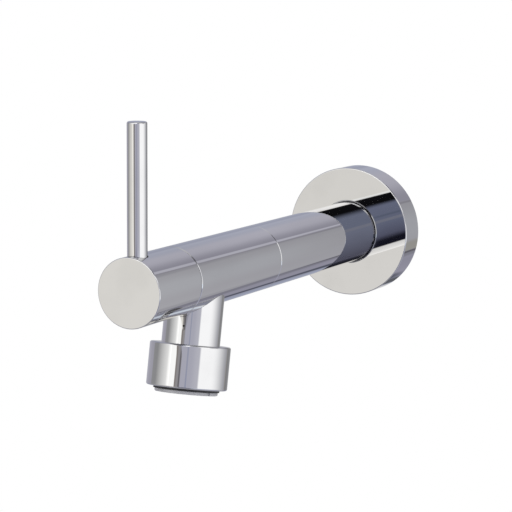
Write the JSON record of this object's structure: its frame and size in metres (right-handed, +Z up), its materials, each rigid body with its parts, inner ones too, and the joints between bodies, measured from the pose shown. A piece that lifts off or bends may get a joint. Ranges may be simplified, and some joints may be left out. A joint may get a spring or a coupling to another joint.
{
  "type": "wall-mounted tap",
  "caption": "Wall-mounted tap with a long round body, a round wall flange, an upright pin lever on the turning front section and a short downward outlet with an aerator.",
  "frame": {"origin": "on the body's axis in the wall plane, where the inlet thread ends", "axes": "+Y into the wall along the body's axis, -Y out to the front of the handle, +Z up along the lever, +X to the right as seen from the front"},
  "size_m": [0.064, 0.246, 0.124],
  "materials": {
    "polished_chrome": "mirror-polished chrome plate on brass",
    "turned_brass": "turned brass",
    "black_rubber": "moulded black rubber",
    "grey_foam": "closed-cell foam",
    "white_ceramic": "ground and polished alumina ceramic",
    "grey_plastic": "moulded grey plastic",
    "white_plastic": "moulded white low-friction plastic",
    "stainless_steel": "plain stainless steel"
  },
  "bodies": {
    "tap_body": {"rear_body": "polished_chrome", "spout_body": "polished_chrome", "outlet_neck": "polished_chrome", "inlet_tail": "turned_brass", "inlet_o_ring": "black_rubber", "inlet_strainer": "stainless_steel", "body_joint_o_ring": "black_rubber", "glide_ring": "white_plastic", "cartridge_housing": "turned_brass", "cartridge_o_ring": "black_rubber", "seat_seal": "black_rubber", "fixed_disc": "white_ceramic", "aerator_housing": "polished_chrome", "aerator_washer": "black_rubber", "lip_seal": "black_rubber", "aerator_insert": "grey_plastic", "flow_regulator": "grey_plastic", "aerator_screen": "stainless_steel"},
    "handle": {"handle_cap": "polished_chrome", "lever_pin": "polished_chrome", "lever_stud": "stainless_steel", "handle_grub_screw": "stainless_steel", "spline_insert": "white_plastic", "spindle": "turned_brass", "spindle_o_rings": "black_rubber", "thrust_washer": "white_plastic", "circlip": "stainless_steel", "stop_washer": "stainless_steel", "moving_disc": "white_ceramic"},
    "flange": {"wall_flange": "polished_chrome", "flange_o_ring": "black_rubber", "wall_gasket": "grey_foam"}
  },
  "joints": [
    {"name": "lever_turn", "type": "hinge", "parent": "tap_body", "child": "handle", "pos_m": [0, -0.21, 0], "axis": [0, -1, 0], "range_deg": [0, 90]},
    {"name": "flange_slide", "type": "slide", "parent": "tap_body", "child": "flange", "axis": [0, -1, 0], "range_m": [0, 0.135]}
  ]
}
